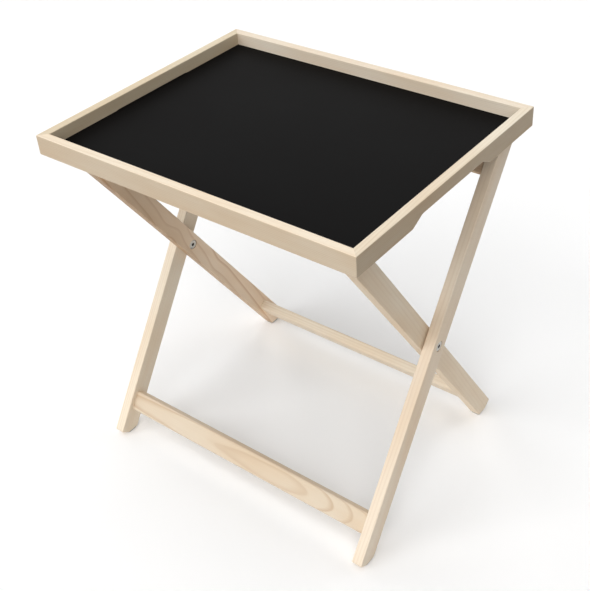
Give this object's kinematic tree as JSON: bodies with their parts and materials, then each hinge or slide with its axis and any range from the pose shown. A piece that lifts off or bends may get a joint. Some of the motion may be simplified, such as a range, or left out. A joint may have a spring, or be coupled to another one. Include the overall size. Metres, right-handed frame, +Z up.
{
  "type": "tray table",
  "caption": "Folding tray table: a shallow framed tray with a dark panel rests on a cross-legged wooden stand that folds flat once the tray is lifted off.",
  "frame": {"origin": "on the floor, under the middle of the tray", "axes": "+X to the right along the pivots and the tray's length, +Y from front to back, +Z up"},
  "size_m": [0.6, 0.475, 0.64],
  "materials": {
    "light_wood": "pale clear-lacquered softwood",
    "black_panel": "black lacquered board",
    "dowel_wood": "plain hardwood",
    "pivot_steel": "zinc plated",
    "washer_plastic": "white nylon",
    "glide_plastic": "grey moulded"
  },
  "bodies": {
    "outer_frame": {"outer_leg_right": "light_wood", "outer_leg_left": "light_wood", "outer_top_rail": "light_wood", "outer_stretcher": "light_wood", "outer_frame_dowels": "dowel_wood", "pivot_bolt_right": "pivot_steel", "pivot_bolt_left": "pivot_steel", "sleeve_nut_right": "pivot_steel", "sleeve_nut_left": "pivot_steel", "spacer_washer_right": "washer_plastic", "spacer_washer_left": "washer_plastic", "front_glide_right": "glide_plastic", "front_glide_left": "glide_plastic"},
    "inner_frame": {"inner_leg_right": "light_wood", "inner_leg_left": "light_wood", "inner_top_rail": "light_wood", "inner_stretcher": "light_wood", "inner_frame_dowels": "dowel_wood", "back_glide_right": "glide_plastic", "back_glide_left": "glide_plastic"},
    "tray": {"tray_rail_front": "light_wood", "tray_rail_back": "light_wood", "tray_rail_left": "light_wood", "tray_rail_right": "light_wood", "tray_panel": "black_panel", "tray_mitre_dowels": "dowel_wood"}
  },
  "joints": [
    {"name": "frame_fold", "type": "hinge", "parent": "outer_frame", "child": "inner_frame", "pos_m": [0, 0, 0.32], "axis": [-1, 0, 0], "range_deg": [0, 62]},
    {"name": "tray_lift", "type": "slide", "parent": "outer_frame", "child": "tray", "axis": [0, 0, 1], "range_m": [0, 0.275]}
  ],
  "couplings": [
    {"joint": "tray_lift", "follows": "frame_fold", "m_per_rad": 0.25}
  ]
}
